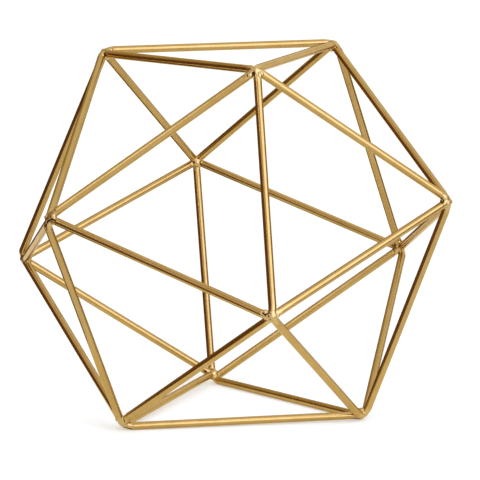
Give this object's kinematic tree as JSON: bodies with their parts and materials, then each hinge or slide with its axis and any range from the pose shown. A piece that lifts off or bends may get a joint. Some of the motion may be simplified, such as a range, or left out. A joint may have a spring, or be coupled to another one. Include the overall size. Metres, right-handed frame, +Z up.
{
  "type": "geometric wire ornament",
  "caption": "Open icosahedron frame of straight gold metal rods welded at their ends, a free-standing ornament that stands on one triangular face.",
  "frame": {"origin": "on the ground, in the middle of the footprint of the whole ornament", "axes": "+Z up out of the triangle that it stands on, -Y towards the front corner of the top triangle, +X to the right"},
  "size_m": [0.172, 0.189, 0.1541],
  "materials": {
    "gold_rod": "satin",
    "gold_weld": "satin"
  },
  "bodies": {
    "root": {"rod_base_back_to_base_left": "gold_rod", "rod_base_back_to_base_right": "gold_rod", "rod_base_left_to_base_right": "gold_rod", "rod_lower_front_to_base_left": "gold_rod", "rod_lower_front_to_base_right": "gold_rod", "rod_lower_left_to_base_back": "gold_rod", "rod_lower_left_to_base_left": "gold_rod", "rod_lower_right_to_base_back": "gold_rod", "rod_lower_right_to_base_right": "gold_rod", "rod_top_front_to_lower_front": "gold_rod", "rod_top_front_to_top_left": "gold_rod", "rod_top_front_to_top_right": "gold_rod", "rod_top_front_to_upper_left": "gold_rod", "rod_top_front_to_upper_right": "gold_rod", "rod_top_left_to_lower_left": "gold_rod", "rod_top_left_to_top_right": "gold_rod", "rod_top_left_to_upper_back": "gold_rod", "rod_top_left_to_upper_left": "gold_rod", "rod_top_right_to_lower_right": "gold_rod", "rod_top_right_to_upper_back": "gold_rod", "rod_top_right_to_upper_right": "gold_rod", "rod_upper_back_to_base_back": "gold_rod", "rod_upper_back_to_lower_left": "gold_rod", "rod_upper_back_to_lower_right": "gold_rod", "rod_upper_left_to_base_left": "gold_rod", "rod_upper_left_to_lower_front": "gold_rod", "rod_upper_left_to_lower_left": "gold_rod", "rod_upper_right_to_base_right": "gold_rod", "rod_upper_right_to_lower_front": "gold_rod", "rod_upper_right_to_lower_right": "gold_rod", "weld_base_back": "gold_weld", "weld_base_left": "gold_weld", "weld_base_right": "gold_weld", "weld_lower_front": "gold_weld", "weld_lower_left": "gold_weld", "weld_lower_right": "gold_weld", "weld_top_front": "gold_weld", "weld_top_left": "gold_weld", "weld_top_right": "gold_weld", "weld_upper_back": "gold_weld", "weld_upper_left": "gold_weld", "weld_upper_right": "gold_weld"}
  },
  "joints": []
}
